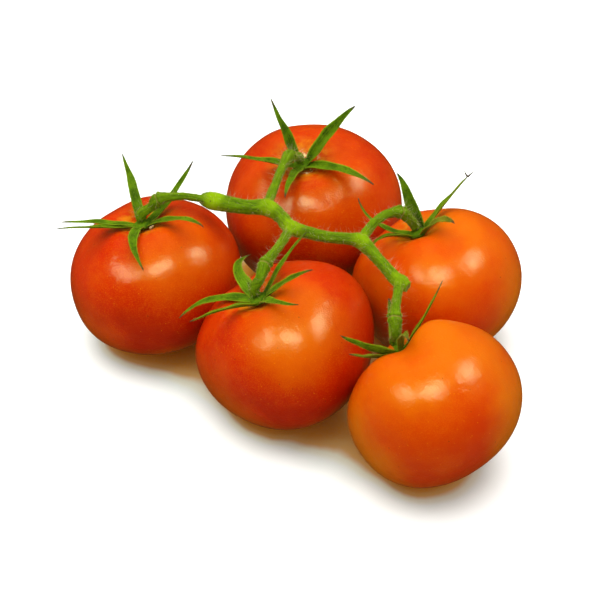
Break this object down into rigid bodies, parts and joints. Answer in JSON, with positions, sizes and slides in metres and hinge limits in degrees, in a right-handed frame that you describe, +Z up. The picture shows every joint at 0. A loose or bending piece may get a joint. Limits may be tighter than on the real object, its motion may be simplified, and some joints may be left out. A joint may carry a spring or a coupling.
{
  "type": "tomato truss",
  "caption": "Truss of ripe tomatoes still joined by one green stalk, lying on its fruits, with a star of green sepals on each fruit.",
  "frame": {"origin": "centre of the truss's footprint box, on the surface that the fruits rest on", "axes": "+Z up from the surface; +Y along the truss's longest way, from the fruit at the stalk's last stub to the one furthest from it; +X across, from the fruit at the stalk's cut end to the one opposite"},
  "size_m": [0.1746, 0.1837, 0.0804],
  "materials": {
    "skin_left": "smooth waxy tomato skin, red, softly glossy",
    "skin_back": "smooth waxy tomato skin, red, softly glossy",
    "skin_right": "smooth waxy tomato skin, red, softly glossy",
    "skin_front": "smooth waxy tomato skin, red, softly glossy",
    "skin_tip": "smooth waxy tomato skin, orange red, softly glossy",
    "calyx_green": "hairy green sepals, matt",
    "stalk_green": "hairy green stalk, paler at its joints, matt"
  },
  "bodies": {
    "root": {"tomato_left": "skin_left", "tomato_back": "skin_back", "tomato_right": "skin_right", "tomato_front": "skin_front", "tomato_tip": "skin_tip", "calyx_left": "calyx_green", "calyx_back": "calyx_green", "calyx_right": "calyx_green", "calyx_front": "calyx_green", "calyx_tip": "calyx_green", "stalk": "stalk_green"}
  },
  "joints": []
}
